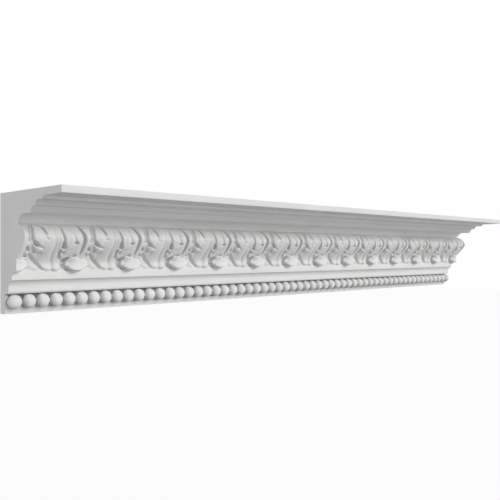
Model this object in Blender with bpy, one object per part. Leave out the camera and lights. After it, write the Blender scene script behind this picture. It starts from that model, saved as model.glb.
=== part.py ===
"""A one metre length of cast plaster cornice with an acanthus frieze and a row of beads.

Metres, +Z up. The origin is the middle of the wall face, +X runs along the cornice, the mouldings
face -Y and the wall is the plane Y = 0. The section is drawn from the foot of the wall face up to
the ceiling, moulding by moulding, so each size moves what stands above or in front of it.
"""

import math

import bmesh
import bpy
import numpy as np
from mathutils import Matrix

# The run
LENGTH = 1.000
LEAF_PITCH = 0.0769  # one repeat of the frieze, fitted to a whole number of them

# Foot of the section, and the channel that the beads stand in
FOOT_THICKNESS = 0.0105
FOOT_HEIGHT = 0.0064
FOOT_REACH = 0.0040
FOOT_HOLLOW = 0.0008
LEDGE_WIDTH = 0.0025
BEAD_DIAMETER = 0.0160
BEAD_GAP = 0.00095
BEAD_HEADROOM = 0.0008
BEAD_SINK = 0.0021  # how far the back of a bead goes into the channel's wall

# Band and cavetto over the beads
BAND_LIP_REACH = 0.0063
BAND_CHAMFER_REACH = 0.0020
BAND_CHAMFER_HEIGHT = 0.0021
BAND_HEIGHT = 0.0057
LOWER_CAVETTO_REACH = 0.0085
LOWER_CAVETTO_HEIGHT = 0.0077
LOWER_CAVETTO_HOLLOW = 0.0015

# Frieze: reaches are in front of its plain margin, which runs below the leaves
MARGIN_HEIGHT = 0.0063
LEAF_HEIGHT = 0.0584
FRIEZE_TOP_REACH = 0.0142
LEAF_BULGE_REACH = 0.0310
LEAF_WAIST_REACH = 0.0101
LEAF_LIP_REACH = 0.0147
LEAF_LIP_ROUND = 0.0015
GROUND_BULGE_REACH = 0.0175

# Crown mouldings
COVE_REACH = 0.0091
COVE_HEIGHT = 0.0081
COVE_HOLLOW = 0.0008
COVE_SOFFIT = 0.0174
OVOLO_UNDER_REACH = 0.0035
OVOLO_UNDER_HEIGHT = 0.0032
OVOLO_FACE_REACH = 0.0012
OVOLO_FACE_HEIGHT = 0.0046
OVOLO_FULLNESS = 0.0004
OVOLO_SOFFIT = 0.0078
UPPER_CAVETTO_REACH = 0.0060
UPPER_CAVETTO_HEIGHT = 0.0060
STEP_SOFFIT = 0.0108
STEP_HEIGHT = 0.0032
CORONA_SOFFIT = 0.0382
CORONA_FALL = 0.0008  # the soffit is this much lower at its back
CORONA_HEIGHT = 0.0077

ARC_STEPS = 4
OVOLO_STEPS = 2
BEAD_SIDES = 8
BEAD_RINGS = 6

# Levels of the leaves, as shares of their height from the top
BULGE_AT = 0.30
WAIST_AT = 0.805
LIP_AT = 0.957
LIP_UNDER_AT = 0.985
ROOT_AT = 1.0

# The frieze is cut this finely for carving, and this share of the mesh is kept once it is carved
LEAF_ROWS = 36
COLUMNS = 50  # in one repeat
KEPT = 0.096
ROWS = [LIP_AT * row / LEAF_ROWS for row in range(LEAF_ROWS + 1)] + [LIP_UNDER_AT, ROOT_AT]

# Carving strokes of one repeat, all in percentages. Each has a start, a middle and an end, along a
# repeat from the middle of the drooping leaf and down the leaves, then the half width at the three
# as a share of a repeat, then the height there as a share of the way from the ground to the face.
LOBES = {
    "drooping tip": (((-19, 80), (-3, 86), (15, 82)), (4, 13, 6), (100, 100, 100)),
    "drooping body": (((-19, 3), (-20, 42), (-10, 80)), (12, 15, 14), (95, 100, 100)),
    "upper side lobe": (((-24, 20), (-31, 26), (-36, 33)), (9, 7, 4), (92, 92, 88)),
    "middle side lobe": (((-22, 44), (-29, 48), (-35, 53)), (9, 7, 4), (92, 90, 85)),
    "lower side lobe": (((-20, 62), (-27, 65), (-33, 69)), (8, 6, 4), (92, 88, 82)),
    "stems": (((12, 3), (6.5, 25), (7.5, 48)), (6, 5.5, 5), (90, 88, 82)),
    "upright flame": (((27, 3), (23, 26), (25, 46)), (8, 10, 8), (100, 100, 96)),
    "second flame": (((44, 3), (38, 22), (38, 44)), (9, 10, 11), (96, 98, 96)),
    "upright stem": (((9, 48), (17, 58), (32, 72)), (5, 7, 9), (86, 92, 94)),
    "upright body": (((38, 32), (38, 60), (44, 93)), (12, 13, 7), (98, 96, 88)),
    "upright rib": (((57, 3), (54, 45), (59, 84)), (9, 8, 7), (92, 88, 55)),
}
CREVICES = {
    "crescent": (((-12, 6), (-4, 31), (-2.3, 64)), (3.5, 3.5, 2.5), (90, 100, 80)),
    "eye": (((7, 46), (8, 51), (9, 61)), (3, 4.5, 4), (90, 100, 75)),
    "flame root": (((14, 38), (19, 42), (31, 48)), (3.5, 3.5, 2), (80, 75, 30)),
    "diagonal": (((14, 62), (25, 76), (40, 96)), (2.5, 3.8, 3.2), (80, 100, 90)),
    "top notch": (((29, 5), (31, 12), (33, 25)), (5, 4.5, 2), (80, 75, 30)),
    "upper side hollow": (((-42, 8), (-40, 29), (-34, 45)), (2.5, 3, 5), (60, 65, 80)),
    "lower side hollow": (((-39, 58), (-35, 62), (-31, 64)), (4, 5, 3), (70, 80, 60)),
    "under the sides": (((-36, 84), (-30, 79), (-25, 73)), (4, 5, 3.5), (100, 100, 80)),
}
STROKE_STEPS = 8
CROWN = 0.35  # how far a lobe falls from its middle to its edge, as a share of its height
EDGE = 0.35  # the share of a lobe's half width in which it then drops to what is around it

PLASTER_COLOUR = (0.86, 0.86, 0.85, 1.0)
PLASTER_ROUGHNESS = 0.75
SMOOTH_UNDER = math.radians(35)
WELD = 0.00001
END_SNAP = 0.0004  # thinning moves the ends by less than this


def remove_everything():
    for thing in list(bpy.data.objects):
        bpy.data.objects.remove(thing, do_unlink=True)


def plaster():
    material = bpy.data.materials.new("white_plaster")
    material.use_nodes = True
    shader = material.node_tree.nodes["Principled BSDF"]
    shader.inputs["Base Color"].default_value = PLASTER_COLOUR
    shader.inputs["Roughness"].default_value = PLASTER_ROUGHNESS
    shader.inputs["Metallic"].default_value = 0.0
    return material


def repeats(pitch):
    """How many times a pattern goes into the length, and the pitch that makes it fit exactly."""
    count = max(1, round(LENGTH / pitch))
    return count, LENGTH / count


def ease(share):
    return share * share * (3 - 2 * share)


def leaf_reach(share):
    """How far the face of the leaves stands over the margin, at a share of their height."""
    if share <= BULGE_AT:
        rest = 1 - share / BULGE_AT
        return LEAF_BULGE_REACH - (LEAF_BULGE_REACH - FRIEZE_TOP_REACH) * rest * rest
    if share <= WAIST_AT:
        down = ease((share - BULGE_AT) / (WAIST_AT - BULGE_AT))
        return LEAF_BULGE_REACH + (LEAF_WAIST_REACH - LEAF_BULGE_REACH) * down
    if share <= LIP_AT:
        curl = (share - WAIST_AT) / (LIP_AT - WAIST_AT)
        return LEAF_WAIST_REACH + (LEAF_LIP_REACH - LEAF_WAIST_REACH) * curl * curl
    return LEAF_LIP_REACH - LEAF_LIP_ROUND if share < ROOT_AT else 0.0


def ground_reach(share):
    """How far the ground between the leaves stands over the margin."""
    if share <= BULGE_AT:
        rest = 1 - share / BULGE_AT
        return GROUND_BULGE_REACH - (GROUND_BULGE_REACH - FRIEZE_TOP_REACH) * rest * rest
    return GROUND_BULGE_REACH * (1 - ease(min(1.0, (share - BULGE_AT) / (WAIST_AT - BULGE_AT))))


def arc(start, end, hollow, steps):
    """Points after start on the way to end, sagging to the left of it by hollow."""
    across = end[0] - start[0]
    up = end[1] - start[1]
    points = []
    for i in range(1, steps + 1):
        share = i / steps
        sag = 4 * hollow * share * (1 - share) / math.hypot(across, up)
        points.append((start[0] + across * share - up * sag, start[1] + up * share + across * sag))
    return points


def quadrant(start, end, steps):
    """A quarter of an ellipse that leaves start upright and runs level into end."""
    turns = [math.pi / 2 * i / steps for i in range(1, steps + 1)]
    return [
        (start[0] + (end[0] - start[0]) * (1 - math.cos(t)), start[1] + (end[1] - start[1]) * math.sin(t))
        for t in turns
    ]


def section():
    """The outline of the casting, and the places on it that the carving and the beads need."""
    outline = [(0.0, 0.0), (FOOT_THICKNESS, 0.0)]

    def ahead(reach, rise):
        return outline[-1][0] + reach, outline[-1][1] + rise

    outline.extend(arc(outline[-1], ahead(FOOT_REACH, FOOT_HEIGHT), FOOT_HOLLOW, ARC_STEPS))
    outline.append(ahead(-LEDGE_WIDTH, 0.0))
    channel = outline[-1]
    outline.append(ahead(0.0, BEAD_DIAMETER + BEAD_HEADROOM))
    outline.append(ahead(BAND_LIP_REACH, 0.0))
    outline.append(ahead(BAND_CHAMFER_REACH, BAND_CHAMFER_HEIGHT))
    outline.append(ahead(0.0, BAND_HEIGHT))
    margin = ahead(LOWER_CAVETTO_REACH, LOWER_CAVETTO_HEIGHT)
    outline.extend(arc(outline[-1], margin, LOWER_CAVETTO_HOLLOW, ARC_STEPS))
    leaf_top = margin[1] + MARGIN_HEIGHT + LEAF_HEIGHT
    for share in reversed(ROWS):
        outline.append((margin[0] + ground_reach(share), leaf_top - share * LEAF_HEIGHT))
    outline.extend(arc(outline[-1], ahead(COVE_REACH, COVE_HEIGHT), COVE_HOLLOW, ARC_STEPS))
    outline.append(ahead(COVE_SOFFIT, 0.0))
    under_edge = ahead(OVOLO_UNDER_REACH, OVOLO_UNDER_HEIGHT)
    outline.extend(arc(outline[-1], under_edge, -OVOLO_FULLNESS, OVOLO_STEPS))
    face_top = ahead(OVOLO_FACE_REACH, OVOLO_FACE_HEIGHT)
    outline.extend(arc(outline[-1], face_top, -OVOLO_FULLNESS, OVOLO_STEPS))
    outline.append(ahead(OVOLO_SOFFIT, 0.0))
    outline.extend(quadrant(outline[-1], ahead(UPPER_CAVETTO_REACH, UPPER_CAVETTO_HEIGHT), ARC_STEPS))
    outline.append(ahead(STEP_SOFFIT, 0.0))
    outline.append(ahead(0.0, STEP_HEIGHT))
    outline.append(ahead(CORONA_SOFFIT, CORONA_FALL))
    outline.append(ahead(0.0, CORONA_HEIGHT))
    outline.append((0.0, outline[-1][1]))
    return outline, channel, margin, leaf_top


def extruded(name, outline, middle):
    """The outline as one closed mesh, run along X, with the level called middle at Z = 0."""
    curve = bpy.data.curves.new(name, "CURVE")
    curve.dimensions = "2D"
    curve.fill_mode = "BOTH"
    curve.extrude = LENGTH / 2
    spline = curve.splines.new("POLY")
    spline.points.add(len(outline) - 1)
    spline.use_cyclic_u = True
    for point, (front, up) in zip(spline.points, outline):
        point.co = (front, up - middle, 0.0, 1.0)
    drawn = bpy.data.objects.new(name + "_outline", curve)
    bpy.context.scene.collection.objects.link(drawn)
    mesh = bpy.data.meshes.new_from_object(drawn.evaluated_get(bpy.context.evaluated_depsgraph_get()))
    bpy.data.objects.remove(drawn, do_unlink=True)
    mesh.transform(Matrix(((0, 0, -1, 0), (-1, 0, 0, 0), (0, 1, 0, 0), (0, 0, 0, 1))))
    mesh.name = name
    return mesh


def between(values, t):
    """The value at t on the parabola through a start, a middle and an end."""
    start, middle, end = values
    return start * (1 - t) * (1 - 2 * t) + 4 * middle * t * (1 - t) + end * t * (2 * t - 1)


def beside(stroke, along, down, pitch):
    """How many half widths each place is from a stroke's middle line, and the stroke's height there."""
    places, halves, heights = stroke
    tracks = ([x for x, _ in places], [y for _, y in places], halves, heights)
    line = []
    for step in range(STROKE_STEPS + 1):
        line.append([between(track, step / STROKE_STEPS) / 100 for track in tracks])
    nearest = np.full(along.shape, 9.0)
    height = np.zeros(along.shape)
    for (x, y, half, high), (next_x, next_y, next_half, next_high) in zip(line, line[1:]):
        run = next_x - x
        fall = (next_y - y) * LEAF_HEIGHT / pitch
        away = (along - x + 0.5) % 1 - 0.5
        below = (down - y) * LEAF_HEIGHT / pitch
        share = np.clip((away * run + below * fall) / (run * run + fall * fall), 0, 1)
        distance = np.hypot(away - share * run, below - share * fall) / (half + (next_half - half) * share)
        nearer = distance < nearest
        nearest[nearer] = distance[nearer]
        height[nearer] = (high + (next_high - high) * share)[nearer]
    return nearest, height


def carving(along, down, pitch):
    """The height of the leaves at each place, as a share of the way from the ground to their face."""
    raised = np.zeros(along.shape)
    for lobe in LOBES.values():
        away, height = beside(lobe, along, down, pitch)
        edge = ease(np.clip((1 - away) / EDGE, 0, 1))
        raised = np.maximum(raised, height * (1 - CROWN * np.minimum(away, 1) ** 2) * edge)
    cut = np.zeros(along.shape)
    for crevice in CREVICES.values():
        away, depth = beside(crevice, along, down, pitch)
        cut = np.maximum(cut, depth * ease(np.clip(1 - away, 0, 1)))
    return np.clip(raised - cut, 0, 1)


def carve(mesh, margin, leaf_top):
    """Cuts the frieze into rows and columns, and moves their crossings out to the leaves."""
    count, pitch = repeats(LEAF_PITCH)
    bm = bmesh.new()
    bm.from_mesh(mesh)
    bmesh.ops.remove_doubles(bm, verts=bm.verts, dist=WELD)
    bmesh.ops.dissolve_faces(bm, faces=[f for f in bm.faces if abs(f.normal.x) > 0.5])
    foot = leaf_top - ROOT_AT * LEAF_HEIGHT

    def on_frieze(vert):
        return vert.co.y < WELD - margin[0] and foot - WELD < vert.co.z < leaf_top + WELD

    long_edges = [
        e
        for e in bm.edges
        if abs(e.verts[0].co.x - e.verts[1].co.x) > LENGTH / 2 and on_frieze(e.verts[0])
    ]
    bmesh.ops.subdivide_edges(bm, edges=long_edges, cuts=count * COLUMNS - 1, use_grid_fill=True)
    bm.verts.index_update()
    carved = [v for v in bm.verts if on_frieze(v)]
    rows = np.array(ROWS)
    shares = np.array([rows[np.argmin(np.abs(rows - (leaf_top - v.co.z) / LEAF_HEIGHT))] for v in carved])
    along = np.array([v.co.x / pitch + count / 2 for v in carved])
    heights = carving(along, np.minimum(shares, LIP_AT), pitch)
    for vert, share, height in zip(carved, shares, heights):
        ground = ground_reach(share)
        vert.co.y = -margin[0] - ground - (leaf_reach(share) - ground) * height
    indices = [v.index for v in carved]
    bm.to_mesh(mesh)
    bm.free()
    return indices


def thinned(mesh, carved):
    """The mesh with fewer triangles in its carving, and both ends cut square again."""
    dense = bpy.data.objects.new("dense", mesh)
    bpy.context.scene.collection.objects.link(dense)
    dense.vertex_groups.new(name="carved").add(carved, 1.0, "REPLACE")
    fewer = dense.modifiers.new("fewer", "DECIMATE")
    fewer.ratio = KEPT
    fewer.vertex_group = "carved"
    light = bpy.data.meshes.new_from_object(dense.evaluated_get(bpy.context.evaluated_depsgraph_get()))
    bpy.data.objects.remove(dense, do_unlink=True)
    light.name = mesh.name
    for vert in light.vertices:
        if abs(vert.co.x) > LENGTH / 2 - END_SNAP:
            vert.co.x = math.copysign(LENGTH / 2, vert.co.x)
    return light


def bead_row(channel):
    """Every bead, with its poles in front and behind, as one mesh of separate balls."""
    count, pitch = repeats(BEAD_DIAMETER + BEAD_GAP)
    radius = BEAD_DIAMETER / 2
    bm = bmesh.new()
    for i in range(count):
        place = Matrix.Translation(
            ((i + 0.5) * pitch - LENGTH / 2, -(channel[0] + radius - BEAD_SINK), channel[1] + radius)
        )
        bmesh.ops.create_uvsphere(
            bm,
            u_segments=BEAD_SIDES,
            v_segments=BEAD_RINGS,
            radius=radius,
            matrix=place @ Matrix.Rotation(math.pi / 2, 4, "X"),
        )
    mesh = bpy.data.meshes.new("beads")
    bm.to_mesh(mesh)
    bm.free()
    return mesh


def placed(name, mesh, collection, material):
    thing = bpy.data.objects.new(name, mesh)
    mesh.materials.clear()
    mesh.materials.append(material)
    collection.objects.link(thing)
    return thing


def main():
    remove_everything()
    shown = bpy.data.collections.new("ornamental_cornice")
    cutters = bpy.data.collections.new("cutters")
    for collection in (shown, cutters):
        bpy.context.scene.collection.children.link(collection)
    material = plaster()

    outline, channel, margin, leaf_top = section()
    middle = outline[-1][1] / 2
    channel = (channel[0], channel[1] - middle)
    leaf_top = leaf_top - middle
    mesh = extruded("cornice", outline, middle)
    mesh = thinned(mesh, carve(mesh, margin, leaf_top))
    cornice = placed("cornice", mesh, shown, material)

    beads = placed("beads", bead_row(channel), cutters, material)
    beads.hide_render = True
    beads.display_type = "WIRE"
    union = cornice.modifiers.new("beads", "BOOLEAN")
    union.operation = "UNION"
    union.solver = "EXACT"
    union.object = beads
    mesh.shade_smooth()
    mesh.set_sharp_from_angle(angle=SMOOTH_UNDER)


main()
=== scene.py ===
import math

import bmesh
import bpy
import numpy as np
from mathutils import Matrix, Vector


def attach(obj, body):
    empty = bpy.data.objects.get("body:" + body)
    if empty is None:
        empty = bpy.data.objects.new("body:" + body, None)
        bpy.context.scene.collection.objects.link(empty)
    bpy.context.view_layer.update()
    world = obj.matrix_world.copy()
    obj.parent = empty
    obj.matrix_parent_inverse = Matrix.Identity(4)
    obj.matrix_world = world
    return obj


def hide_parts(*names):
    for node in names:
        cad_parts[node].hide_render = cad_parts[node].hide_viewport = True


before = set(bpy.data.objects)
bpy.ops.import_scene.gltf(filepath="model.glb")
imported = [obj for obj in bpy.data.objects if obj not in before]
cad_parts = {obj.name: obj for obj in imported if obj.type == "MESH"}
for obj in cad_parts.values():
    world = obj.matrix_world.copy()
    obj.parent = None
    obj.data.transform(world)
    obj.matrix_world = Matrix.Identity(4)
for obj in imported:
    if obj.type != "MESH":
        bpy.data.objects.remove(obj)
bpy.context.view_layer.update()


# The view
# A level camera near the left end, with the run going away from it to the right.
# It turns 45 degrees from the wall, so both the cut end and the mouldings show.
CAMERA_PLACE = (-0.8302, -0.7252, 0.0010)
CAMERA_TURN = (90, 0, -45.03)
CAMERA_LENS = 47.28
CAMERA_SHIFT = (0.007, 0.0052)

bpy.ops.object.camera_add(location=CAMERA_PLACE, rotation=[math.radians(angle) for angle in CAMERA_TURN])
camera = bpy.context.object
camera.data.lens = CAMERA_LENS
camera.data.shift_x, camera.data.shift_y = CAMERA_SHIFT
bpy.context.scene.camera = camera


# The run of mouldings
# The real one is cast in one piece of gypsum plaster, face down in a rubber mould, and its flat
# wall and ceiling faces are struck off level. Here its section is drawn from the foot of the wall
# face round to the ceiling, filled, and drawn out along the wall to the length of one casting.
LENGTH = 1.000
HEIGHT = 0.137
FOOT_THICKNESS = 0.0105
FOOT_REACH, FOOT_HEIGHT, FOOT_HOLLOW = 0.0040, 0.0064, 0.0008
LEDGE_WIDTH = 0.0025
BEAD_DIAMETER = 0.0160
BEAD_HEADROOM = 0.0008
BAND_LIP_REACH = 0.0063
BAND_CHAMFER_REACH, BAND_CHAMFER_HEIGHT = 0.0020, 0.0021
BAND_HEIGHT = 0.0057
LOWER_CAVETTO_REACH, LOWER_CAVETTO_HEIGHT, LOWER_CAVETTO_HOLLOW = 0.0085, 0.0077, 0.0015
MARGIN_HEIGHT = 0.0063
LEAF_HEIGHT = 0.0584
FRIEZE_TOP_REACH = 0.0142
COVE_REACH, COVE_HEIGHT, COVE_HOLLOW = 0.0091, 0.0081, 0.0008
COVE_SOFFIT = 0.0174
OVOLO_UNDER_REACH, OVOLO_UNDER_HEIGHT = 0.0035, 0.0032
OVOLO_FACE_REACH, OVOLO_FACE_HEIGHT = 0.0012, 0.0046
OVOLO_FULLNESS = 0.0004
OVOLO_SOFFIT = 0.0078
UPPER_CAVETTO_REACH, UPPER_CAVETTO_HEIGHT, UPPER_CAVETTO_HOLLOW = 0.0060, 0.0060, 0.00175
STEP_SOFFIT, STEP_HEIGHT = 0.0108, 0.0032
CORONA_SOFFIT, CORONA_FALL, CORONA_HEIGHT = 0.0382, 0.0008, 0.0077
# Straight pieces in each round stretch of the section.
FOOT_STEPS, LOWER_CAVETTO_STEPS, COVE_STEPS, OVOLO_STEPS, UPPER_CAVETTO_STEPS = 5, 10, 8, 4, 8
ARRIS_ROUND, ARRIS_STEPS = 0.0003, 2
SHARP_OVER = math.radians(35)  # faces that turn by more than this meet in an arris
SPECK = 0.001  # the size of the plane that is drawn together to the first point
SLANT = 0.01  # how far an edge may lean, for its length, and still run along the wall
TINY = 0.00001  # places nearer than this are the same


def line_to(out, up):
    """Draws the section on by a straight line."""
    bpy.ops.mesh.extrude_vertices_move(TRANSFORM_OT_translate={"value": (0, -out, up)})
    pen.append((pen[-1][0] + out, pen[-1][1] + up))


def curve_to(out, up, hollow, steps):
    """Draws the section on by an arc that sags to the left of its chord by hollow."""
    chord = math.hypot(out, up)
    radius = chord * chord / (8 * hollow) + hollow / 2
    side = radius - hollow
    centre = (pen[-1][0] + out / 2 + up / chord * side, pen[-1][1] + up / 2 - out / chord * side)
    turn = math.copysign(2 * math.atan2(chord / 2, abs(side)), -hollow)
    bpy.ops.mesh.spin(steps=steps, angle=turn, center=(-LENGTH / 2, -centre[0], centre[1]), axis=(1, 0, 0))
    pen.append((pen[-1][0] + out, pen[-1][1] + up))


def select(kind, wanted):
    """Selects, in edit mode, the vertices or edges that wanted says yes to."""
    drawn = bmesh.from_edit_mesh(casting.data)
    bpy.ops.mesh.select_all(action="DESELECT")
    bpy.ops.mesh.select_mode(type="VERT" if kind == "verts" else "EDGE")
    for item in getattr(drawn, kind):
        if wanted(item):
            item.select_set(True)
    bmesh.update_edit_mesh(casting.data)


def along_run(edge):
    """Whether an edge runs along the wall."""
    run = edge.verts[1].co - edge.verts[0].co
    return max(abs(run.y), abs(run.z)) < SLANT * abs(run.x)


def on_frieze(vert):
    """Whether a vertex stands on the uncarved face of the frieze."""
    out, up = -vert.co.y - margin[0], vert.co.z - margin[1]
    return abs(out - FRIEZE_TOP_REACH * up / LEAF_HEIGHT) < TINY and -TINY < up < LEAF_HEIGHT + TINY


bpy.ops.object.select_all(action="DESELECT")
bpy.ops.mesh.primitive_plane_add(size=SPECK, location=(-LENGTH / 2, 0, -HEIGHT / 2))
casting = bpy.context.object
casting.name = "cornice_casting"
bpy.ops.object.mode_set(mode="EDIT")
bpy.ops.mesh.merge(type="CENTER")
pen = [(0.0, -HEIGHT / 2)]
line_to(FOOT_THICKNESS, 0)
curve_to(FOOT_REACH, FOOT_HEIGHT, FOOT_HOLLOW, FOOT_STEPS)
line_to(-LEDGE_WIDTH, 0)
ledge = pen[-1]
line_to(0, BEAD_DIAMETER + BEAD_HEADROOM)
line_to(BAND_LIP_REACH, 0)
line_to(BAND_CHAMFER_REACH, BAND_CHAMFER_HEIGHT)
line_to(0, BAND_HEIGHT)
curve_to(LOWER_CAVETTO_REACH, LOWER_CAVETTO_HEIGHT, LOWER_CAVETTO_HOLLOW, LOWER_CAVETTO_STEPS)
line_to(0, MARGIN_HEIGHT)
margin = pen[-1]
line_to(FRIEZE_TOP_REACH, LEAF_HEIGHT)
curve_to(COVE_REACH, COVE_HEIGHT, COVE_HOLLOW, COVE_STEPS)
line_to(COVE_SOFFIT, 0)
curve_to(OVOLO_UNDER_REACH, OVOLO_UNDER_HEIGHT, -OVOLO_FULLNESS, OVOLO_STEPS)
curve_to(OVOLO_FACE_REACH, OVOLO_FACE_HEIGHT, -OVOLO_FULLNESS, OVOLO_STEPS)
line_to(OVOLO_SOFFIT, 0)
curve_to(UPPER_CAVETTO_REACH, UPPER_CAVETTO_HEIGHT, UPPER_CAVETTO_HOLLOW, UPPER_CAVETTO_STEPS)
line_to(STEP_SOFFIT, 0)
line_to(0, STEP_HEIGHT)
line_to(CORONA_SOFFIT, CORONA_FALL)
line_to(0, CORONA_HEIGHT)
line_to(-pen[-1][0], 0)
bpy.ops.mesh.select_all(action="SELECT")
bpy.ops.mesh.edge_face_add()
bpy.ops.mesh.extrude_region_move(TRANSFORM_OT_translate={"value": (LENGTH, 0, 0)})
bpy.ops.mesh.select_all(action="SELECT")
bpy.ops.mesh.normals_make_consistent(inside=False)
bpy.ops.object.mode_set(mode="OBJECT")
bpy.ops.object.transform_apply(location=True, rotation=True, scale=True)

# The arrises come out of a soft mould a little rounded. The two at the wall are struck off sharp.
bpy.ops.object.mode_set(mode="EDIT")
select(
    "edges",
    lambda edge: along_run(edge)
    and edge.calc_face_angle(0) > SHARP_OVER
    and edge.verts[0].co.y < -ledge[0] / 2
    and not on_frieze(edge.verts[0]),
)
bpy.ops.mesh.bevel(offset=ARRIS_ROUND, segments=ARRIS_STEPS)
bpy.ops.object.mode_set(mode="OBJECT")


# The row of beads
# Round beads of the same plaster, cast with the run. Each is sunk a little into the wall of its
# channel and just touches the ledge and the next bead, so the row reads as a string of pearls.
BEAD_COUNT = 59
BEAD_PITCH = LENGTH / BEAD_COUNT
BEAD_SINK = 0.0021
BEAD_SEAT = 0.0002
BEAD_SIDES, BEAD_RINGS = 20, 12
SLOT_DEPTH, SLOT_HEIGHT = 0.0080, 0.0085  # the undercut behind the tops of the beads
END_WALL = 0.0030  # what is left of the channel's wall at each end of that undercut

bpy.ops.object.select_all(action="DESELECT")
bpy.ops.mesh.primitive_cube_add(
    size=1,
    location=(0, -ledge[0], ledge[1] + BEAD_DIAMETER + BEAD_HEADROOM - TINY - SLOT_HEIGHT / 2),
    scale=(LENGTH - 2 * END_WALL, 2 * SLOT_DEPTH, SLOT_HEIGHT),
)
slot = bpy.context.object
bpy.ops.object.transform_apply(location=True, rotation=True, scale=True)

bpy.ops.object.select_all(action="DESELECT")
bpy.ops.mesh.primitive_uv_sphere_add(
    segments=BEAD_SIDES,
    ring_count=BEAD_RINGS,
    radius=BEAD_DIAMETER / 2,
    location=(
        BEAD_PITCH / 2 - LENGTH / 2,
        BEAD_SINK - BEAD_DIAMETER / 2 - ledge[0],
        ledge[1] + BEAD_DIAMETER / 2 - BEAD_SEAT,
    ),
    rotation=(math.pi / 2, 0, 0),
)
beads = bpy.context.object
bpy.ops.object.transform_apply(location=True, rotation=True, scale=True)
row = beads.modifiers.new("row", "ARRAY")
row.count = BEAD_COUNT
row.use_relative_offset = False
row.use_constant_offset = True
row.constant_offset_displace = (BEAD_PITCH, 0, 0)
bpy.ops.object.modifier_apply(modifier=row.name)

bpy.ops.object.select_all(action="DESELECT")
bpy.context.view_layer.objects.active = casting
casting.select_set(True)
for name, operation, other in (("undercut", "DIFFERENCE", slot), ("fused", "UNION", beads)):
    joining = casting.modifiers.new(name, "BOOLEAN")
    joining.operation = operation
    joining.solver = "EXACT"
    joining.object = other
    bpy.ops.object.modifier_apply(modifier=joining.name)
    bpy.data.objects.remove(other, do_unlink=True)
bpy.ops.object.shade_smooth_by_angle(angle=SHARP_OVER)


# The acanthus frieze
# Thirteen repeats of a drooping leaf and an upright one, swept the same way along the run and cut
# through a drooping leaf at both ends. The real relief is carved once in clay and cast with the
# rest. Here the frieze's face is cut into a fine grid, and the crossings are moved out or in.
REPEATS = 13
LEAF_PITCH = LENGTH / REPEATS
COLUMNS, ROWS = 100, 64  # of the grid, in one repeat
LEAF_BULGE_REACH, LEAF_WAIST_REACH, LEAF_LIP_REACH, LEAF_LIP_ROUND = 0.0310, 0.0101, 0.0147, 0.0015
GROUND_BULGE_REACH = 0.0175
BULGE_AT, WAIST_AT, LIP_AT = 0.30, 0.805, 0.957  # shares of the way down the leaves
SWEEP_ROUND = 0.55  # how rounded the face is between its bulge and its waist; at 0 it is straight

# Strokes of one repeat, in percentages. Each has a start, a middle and an end: its places along a
# repeat from the drooping leaf's middle and down the leaves, its half widths as shares of a
# repeat, and its heights as shares of the way from the ground to the face. A lobe's last number
# is how far it falls from its middle to its edge. A crevice has depths in place of heights.
LOBES = {
    "between the leaves": (((-50, 16), (0, 16), (50, 16)), (44, 44, 44), (90, 90, 90), 0.95),
    "drooping tip": (((-14, 80.5), (-1, 82.5), (15, 82)), (7.5, 10.6, 6), (68, 102, 84), 0.22),
    "drooping body": (((-20, 45), (-14, 60), (-5, 74)), (13, 12, 9), (95, 90, 92), 0.38),
    "upper left lobe": (((-29, 0), (-28, 24), (-23, 46)), (11, 12, 11), (94, 97, 95), 0.18),
    "upper right lobe": (((-14, 0), (-13, 24), (-9, 60)), (9, 10, 8), (96, 100, 94), 0.20),
    "upper side tip": (((-28, 20), (-33, 27), (-38, 35)), (8, 6, 2), (94, 91, 88), 0.2),
    "middle side tip": (((-24, 46), (-30, 51), (-37, 57)), (8, 6, 2), (92, 86, 80), 0.2),
    "lower side tip": (((-22, 64), (-28, 67.5), (-33, 71)), (6, 4.5, 1.5), (78, 70, 58), 0.2),
    "right of the crescent": (((2.5, 0), (2, 33), (4, 74)), (5, 5, 6.5), (94, 99, 84), 0.12),
    "stems": (((9, 0), (7, 24), (8, 46)), (6.5, 6, 4.5), (98, 98, 88), 0.2),
    "upright flame": (((27, 0), (23.5, 26), (28, 48)), (10, 11.5, 9), (98, 103, 94), 0.28),
    "second flame": (((44, 0), (41, 20), (40, 46)), (10, 11, 12), (96, 98, 93), 0.15),
    "upright body": (((40, 40), (46, 59), (55, 78)), (15, 17, 12.5), (93, 77, 28), 0.5),
    "upright foot": (((28, 54), (41, 70), (50, 83.5)), (9, 10, 7.5), (60, 40, 14), 0.4),
    "bank of the diagonal": (((13, 60), (24, 75), (35, 86)), (8, 8, 6), (58, 30, 16), 0.95),
    "upright rib": (((58, 0), (58.5, 45), (67, 80)), (10, 10, 11.5), (93, 86, 42), 0.45),
    "under the stems": (((8, 46), (11, 58), (16, 70)), (8, 8, 8), (76, 60, 22), 0.7),
}
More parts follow.
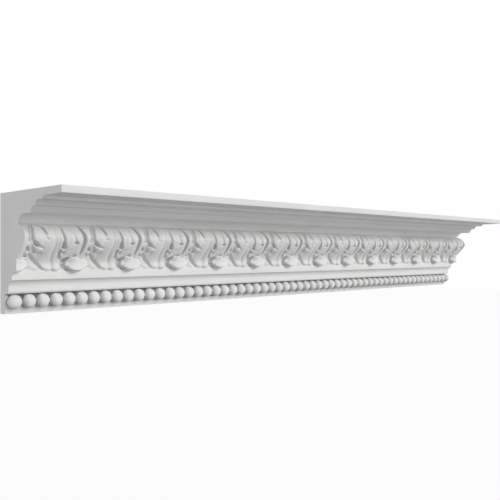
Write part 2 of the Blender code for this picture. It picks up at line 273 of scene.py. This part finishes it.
CREVICES = {
    "crescent": (((-10, 3), (-3.4, 30), (-1.9, 61)), (2.6, 2.0, 0.9), (90, 120, 80)),
    "between the stems": (((12, 6), (8, 20), (7.5, 38)), (1.5, 1.4, 1.1), (46, 52, 36)),
    "right of the stems": (((18.5, 4), (13.2, 20), (13.5, 36)), (1.9, 1.7, 1.3), (72, 78, 62)),
    "hole": (((9, 47), (11, 50.5), (14, 53.5)), (1.2, 1.9, 1.2), (90, 115, 90)),
    "hollow under the hole": (((8, 59), (12, 63), (16.5, 65.5)), (1.2, 1.9, 1.3), (50, 74, 54)),
    "flame root": (((16.5, 37), (20.5, 42), (26, 45.5)), (1.0, 1.9, 1.3), (80, 115, 84)),
    "flame root line": (((25, 45), (30, 48), (35, 49.5)), (1.3, 1.3, 1.0), (64, 48, 18)),
    "vein under the flame": (((20, 54), (27, 59), (34, 59)), (1.4, 1.6, 1.2), (11, 16, 9)),
    "top notch": (((26, 1), (31.5, 11), (34, 24)), (3.6, 2.8, 1.4), (90, 76, 20)),
    "spot": (((34, 31), (36, 32), (38, 33)), (1.3, 1.6, 1.3), (16, 26, 16)),
    "diagonal": (((18, 60.5), (31, 75), (46, 92)), (1.2, 1.6, 1.3), (84, 84, 50)),
    "end of the diagonal": (((45, 91.5), (49, 93), (53, 92)), (1.2, 1.1, 0.9), (40, 26, 8)),
    "rib valley": (((50, 6), (49, 44), (61, 88)), (2.4, 2.6, 2.4), (8, 10, 6)),
    "side line": (((-40.5, 6), (-38.8, 20), (-36.5, 33)), (1.1, 1.3, 1.1), (60, 74, 60)),
    "upper hollow": (((-36, 36), (-34, 45), (-30, 50)), (1.1, 2.4, 1.2), (70, 120, 70)),
    "lower hollow": (((-37, 54), (-34.5, 61), (-32, 69)), (1.5, 2.4, 1.6), (70, 115, 80)),
    "notch over the tip": (((-17.5, 69.5), (-22.5, 73.5), (-25.5, 79)), (1.3, 2.1, 2.4), (80, 115, 120)),
    "under the drooping tip": (((-25.8, 78.5), (-22.5, 86), (-11, 92.5)), (2.4, 2.2, 1.5), (120, 100, 56)),
    "right of the tip": (((16, 88), (19, 88.5), (22, 87)), (1.1, 1.6, 1.1), (44, 66, 40)),
    "notch in the tip": (((-17, 87.5), (-15.5, 86), (-13.5, 85)), (1.2, 1.4, 1.0), (30, 26, 8)),
    "eye": (((-18, 38), (-16, 39), (-13.5, 40.5)), (1.1, 1.6, 1.1), (56, 86, 54)),
    "lower eye": (((-13.5, 63), (-10.5, 64.5), (-6.5, 66)), (1.1, 1.5, 1.1), (46, 66, 46)),
    "inner valley": (((-25, 6), (-22, 20), (-18.5, 34)), (2.6, 2.4, 2.0), (10, 12, 11)),
    "upper fold": (((-30, 57), (-25, 55.5), (-18, 52)), (1.3, 1.6, 1.2), (14, 18, 9)),
    "lower fold": (((-22, 71), (-17, 67.5), (-12, 65)), (1.3, 1.4, 1.2), (52, 46, 40)),
    "left vein": (((-33, 4), (-31, 20), (-26, 42)), (1.2, 1.3, 1.0), (7, 8, 5)),
    "right vein": (((-12, 12), (-8.5, 34), (-8, 58)), (1.2, 1.3, 1.0), (7, 8, 5)),
    "flame vein": (((24, 4), (20.5, 18), (21.5, 34)), (1.1, 1.3, 1.0), (7, 9, 5)),
    "second flame vein": (((42, 3), (39, 18), (41, 38)), (1.1, 1.3, 1.0), (8, 9, 5)),
    "rib vein": (((57, 4), (56.5, 40), (65, 76)), (1.2, 1.4, 1.2), (6, 8, 6)),
}
STROKE_STEPS = 10  # straight pieces in one stroke
FAR = 9.0  # half widths from a stroke, where nothing of it is left
LOBE_EDGE = 0.0013  # the width in which a lobe drops to what is around it
CREVICE_SIDES = 1.4  # how steep their sides are; at 1 they would be V-shaped
DEEPEST, HIGHEST = -0.25, 1.1  # shares of the way from the ground to the face
TOP_FADE = 0.03  # the share of the leaves' height in which hollows start under the top
TOP_QUIRK = 0.0036  # the thin groove from under which the leaves spring
QUIRK_ROWS, QUIRK_SHARES = (0, 1, 2, 4), (0, 1, 0.9, 0)  # its depth at each row of the grid
EVENED_FROM_ROW = 1.5  # rows nearer the top than this stay as cut, so the groove stays sharp
EVENING = 0.45  # how far a crossing moves towards the middle of its neighbours


def ease(share):
    """A share from 0 to 1, slower at both ends."""
    return share * share * (3 - 2 * share)


def leaf_reach(down):
    """How far the face of the leaves stands over the margin."""
    rest = 1 - down / BULGE_AT
    bulge = LEAF_BULGE_REACH - (LEAF_BULGE_REACH - FRIEZE_TOP_REACH) * rest * rest
    sweep = np.clip((down - BULGE_AT) / (WAIST_AT - BULGE_AT), 0, 1)
    sweep = sweep + (ease(sweep) - sweep) * SWEEP_ROUND
    waist = LEAF_BULGE_REACH + (LEAF_WAIST_REACH - LEAF_BULGE_REACH) * sweep
    curl = (down - WAIST_AT) / (LIP_AT - WAIST_AT)
    lip = LEAF_WAIST_REACH + (LEAF_LIP_REACH - LEAF_WAIST_REACH) * curl * curl
    under = np.where(down < 1 - TINY, LEAF_LIP_REACH - LEAF_LIP_ROUND, 0)
    stretches = [down <= BULGE_AT, down <= WAIST_AT, down <= LIP_AT + TINY]
    return np.select(stretches, [bulge, waist, lip], under)


def ground_reach(down):
    """How far the ground between the leaves stands over the margin."""
    rest = 1 - down / BULGE_AT
    bulge = GROUND_BULGE_REACH - (GROUND_BULGE_REACH - FRIEZE_TOP_REACH) * rest * rest
    sweep = ease(np.clip((down - BULGE_AT) / (WAIST_AT - BULGE_AT), 0, 1))
    return np.where(down <= BULGE_AT, bulge, GROUND_BULGE_REACH * (1 - sweep))


def between(values, t):
    """The value at t on the parabola through a start, a middle and an end."""
    start, middle, end = values
    return start * (1 - t) * (1 - 2 * t) + 4 * middle * t * (1 - t) + end * t * (2 * t - 1)


def beside(places, halves, heights, along, down):
    """How many half widths each place is from a stroke, with its half width and height there."""
    tracks = ([x for x, _ in places], [y for _, y in places], halves, heights)
    line = []
    for step in range(STROKE_STEPS + 1):
        line.append([between(track, step / STROKE_STEPS) / 100 for track in tracks])
    nearest = np.full(along.shape, FAR)
    width = np.ones(along.shape)
    height = np.zeros(along.shape)
    tall = LEAF_HEIGHT / LEAF_PITCH
    for (x, y, half, high), (next_x, next_y, next_half, next_high) in zip(line, line[1:]):
        run, fall = next_x - x, (next_y - y) * tall
        away = (along - x + 0.5) % 1 - 0.5
        below = (down - y) * tall
        share = np.clip((away * run + below * fall) / (run * run + fall * fall), 0, 1)
        here = half + (next_half - half) * share
        distance = np.hypot(away - share * run, below - share * fall) / here
        nearer = distance < nearest
        nearest[nearer] = distance[nearer]
        width[nearer] = here[nearer]
        height[nearer] = (high + (next_high - high) * share)[nearer]
    return nearest, width, height


def carving(along, down):
    """The height of the leaves at each place, as a share of the way from the ground to their face."""
    raised = np.zeros(along.shape)
    for places, halves, heights, crown in LOBES.values():
        away, width, height = beside(places, halves, heights, along, down)
        edge = ease(np.clip((1 - away) * width * LEAF_PITCH / LOBE_EDGE, 0, 1))
        raised = np.maximum(raised, height * (1 - crown * np.minimum(away, 1) ** 2) * edge)
    cut = np.zeros(along.shape)
    for places, halves, depths in CREVICES.values():
        away, width, depth = beside(places, halves, depths, along, down)
        cut = np.maximum(cut, depth * ease(np.clip((1 - away) * CREVICE_SIDES, 0, 1)))
    near_border = np.clip(np.minimum(down / TOP_FADE, (1 - down) / (1 - LIP_AT)), 0, 1)
    return np.clip(raised - cut, DEEPEST * near_border, HIGHEST)


bpy.ops.object.mode_set(mode="EDIT")
select("edges", lambda edge: not along_run(edge) and all(on_frieze(vert) for vert in edge.verts))
bpy.ops.mesh.subdivide(number_cuts=ROWS - 1)
for cuts in (REPEATS - 1, COLUMNS - 1):
    select("edges", lambda edge: along_run(edge) and all(on_frieze(vert) for vert in edge.verts))
    bpy.ops.mesh.subdivide(number_cuts=cuts)
for border in (margin[1], margin[1] + LEAF_HEIGHT):
    select("edges", lambda edge: along_run(edge) and abs(edge.verts[0].co.z - border) < TINY)
    bpy.ops.mesh.mark_sharp()
select("verts", on_frieze)
bpy.ops.object.mode_set(mode="OBJECT")

crossings = np.zeros(len(casting.data.vertices) * 3)
casting.data.vertices.foreach_get("co", crossings)
crossings = crossings.reshape(-1, 3)
carved = np.zeros(len(crossings), bool)
casting.data.vertices.foreach_get("select", carved)
down = 1 - (crossings[carved, 2] - margin[1]) / LEAF_HEIGHT
along = (crossings[carved, 0] + LENGTH / 2) / LEAF_PITCH
ground = ground_reach(down)
relief = carving(along, np.minimum(down, LIP_AT))
inside_frieze = np.zeros(len(crossings), bool)
inside_frieze[carved] = (down > EVENED_FROM_ROW / ROWS) & (down < LIP_AT + TINY) & (along % REPEATS > TINY)
quirk = TOP_QUIRK * np.interp(down * ROWS, QUIRK_ROWS, QUIRK_SHARES)
crossings[carved, 1] = quirk - margin[0] - ground - (leaf_reach(down) - ground) * relief
casting.data.vertices.foreach_set("co", crossings.ravel())
casting.data.update()

# The carver's tools leave no ridges, so the crossings inside the frieze are evened out a little.
bpy.ops.object.mode_set(mode="EDIT")
select("verts", lambda vert: inside_frieze[vert.index])
bpy.ops.mesh.vertices_smooth(factor=EVENING, xaxis=False, zaxis=False)
bpy.ops.object.mode_set(mode="OBJECT")


# The plaster
# White casting plaster, matt and fine, left bare. It has a faint cloudiness where it set at
# different speeds, a fine grain, and the slight waviness of the mould.
PLASTER_COLOUR = (0.735, 0.735, 0.73, 1)
PLASTER_SHADE = (0.70, 0.70, 0.693, 1)
PLASTER_GLOSS = 0.3
SMOOTHEST, ROUGHEST = 0.70, 0.86
CLOUD_SCALE, CLOUD_DETAIL = 14, 4
CLOUD_START, CLOUD_END = 0.38, 0.62
GRAIN_SCALE, GRAIN_DETAIL = 1400, 3
GRAIN_STRENGTH, GRAIN_DEPTH = 0.12, 0.0002
WAVE_SCALE, WAVE_DETAIL = 70, 2
WAVE_STRENGTH, WAVE_DEPTH = 0.10, 0.0010

plaster = bpy.data.materials.new("white_casting_plaster")
plaster.use_nodes = True
nodes = plaster.node_tree.nodes
links = plaster.node_tree.links
shader = nodes["Principled BSDF"]
shader.inputs["Metallic"].default_value = 0.0
shader.inputs["Specular IOR Level"].default_value = PLASTER_GLOSS
where = nodes.new("ShaderNodeTexCoord")


def noise(scale, detail):
    """A noise texture that stays with the casting."""
    texture = nodes.new("ShaderNodeTexNoise")
    texture.inputs["Scale"].default_value = scale
    texture.inputs["Detail"].default_value = detail
    links.new(where.outputs["Object"], texture.inputs["Vector"])
    return texture


def bump(texture, strength, depth):
    """The small ups and downs of the surface that a noise texture gives."""
    surface = nodes.new("ShaderNodeBump")
    surface.inputs["Strength"].default_value = strength
    surface.inputs["Distance"].default_value = depth
    links.new(texture.outputs["Fac"], surface.inputs["Height"])
    return surface


clouds = noise(CLOUD_SCALE, CLOUD_DETAIL)
tone = nodes.new("ShaderNodeValToRGB")
tone.color_ramp.elements[0].position = CLOUD_START
tone.color_ramp.elements[0].color = PLASTER_SHADE
tone.color_ramp.elements[1].position = CLOUD_END
tone.color_ramp.elements[1].color = PLASTER_COLOUR
dryness = nodes.new("ShaderNodeMapRange")
dryness.inputs["To Min"].default_value = SMOOTHEST
dryness.inputs["To Max"].default_value = ROUGHEST
waves = bump(noise(WAVE_SCALE, WAVE_DETAIL), WAVE_STRENGTH, WAVE_DEPTH)
pores = bump(noise(GRAIN_SCALE, GRAIN_DETAIL), GRAIN_STRENGTH, GRAIN_DEPTH)
links.new(clouds.outputs["Fac"], tone.inputs["Fac"])
links.new(tone.outputs["Color"], shader.inputs["Base Color"])
links.new(clouds.outputs["Fac"], dryness.inputs["Value"])
links.new(dryness.outputs["Result"], shader.inputs["Roughness"])
links.new(waves.outputs["Normal"], pores.inputs["Normal"])
links.new(pores.outputs["Normal"], shader.inputs["Normal"])

casting.data.materials.clear()
casting.data.materials.append(plaster)
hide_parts("cornice")
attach(casting, "root")


# The studio
# A plain pale floor well below the casting and a white surround. A wide key light from the front
# right reaches under the projecting top. One low fill from the front lights the hollow undersides,
# and one from the left lights the cut end.
FLOOR_LEVEL, FLOOR_SIZE = -1.2, 40
FLOOR_COLOUR = (0.95, 0.95, 0.95, 1)
FLOOR_ROUGHNESS = 0.9
FLOOR_GLOW = 0.52
WHITE = (1, 1, 1, 1)
SOFT_LIGHT, SEEN_LIGHT = 0.23, 1  # the surround as it lights the casting and as the camera sees it

# Each lamp has where it shines from, its strength and its softness in degrees.
KEY = ((0.22, -1, 0.40), 1.84, 24)
FRONT_FILL = ((0.5, -1, -0.3), 0.80, 12)
SIDE_FILL = ((-1, -0.04, 0.1), 1.26, 12)

bpy.ops.object.select_all(action="DESELECT")
bpy.ops.mesh.primitive_plane_add(size=FLOOR_SIZE, location=(0, 0, FLOOR_LEVEL))
floor = bpy.context.object
floor.name = "floor"
floor.visible_diffuse = False  # it neither throws light up into the shaded mouldings
floor.visible_shadow = False  # nor stands in the way of the low front light
floor_paint = bpy.data.materials.new("floor_paint")
floor_paint.use_nodes = True
paint = floor_paint.node_tree.nodes["Principled BSDF"]
paint.inputs["Base Color"].default_value = FLOOR_COLOUR
paint.inputs["Roughness"].default_value = FLOOR_ROUGHNESS
paint.inputs["Emission Color"].default_value = WHITE
paint.inputs["Emission Strength"].default_value = FLOOR_GLOW
floor.data.materials.append(floor_paint)

for place, power, softness in (KEY, FRONT_FILL, SIDE_FILL):
    bpy.ops.object.light_add(type="SUN", location=place)
    lamp = bpy.context.object
    lamp.data.energy = power
    lamp.data.angle = math.radians(softness)
    lamp.rotation_euler = (-Vector(place)).to_track_quat("-Z", "Y").to_euler()

surround = bpy.data.worlds.new("surround")
surround.use_nodes = True
sky = surround.node_tree
seen = sky.nodes.new("ShaderNodeLightPath")
brightness = sky.nodes.new("ShaderNodeMix")
brightness.inputs["A"].default_value = SOFT_LIGHT
brightness.inputs["B"].default_value = SEEN_LIGHT
sky.links.new(seen.outputs["Is Camera Ray"], brightness.inputs["Factor"])
sky.links.new(brightness.outputs["Result"], sky.nodes["Background"].inputs["Strength"])
sky.nodes["Background"].inputs["Color"].default_value = WHITE
bpy.context.scene.world = surround
bpy.context.scene.view_settings.view_transform = "Standard"
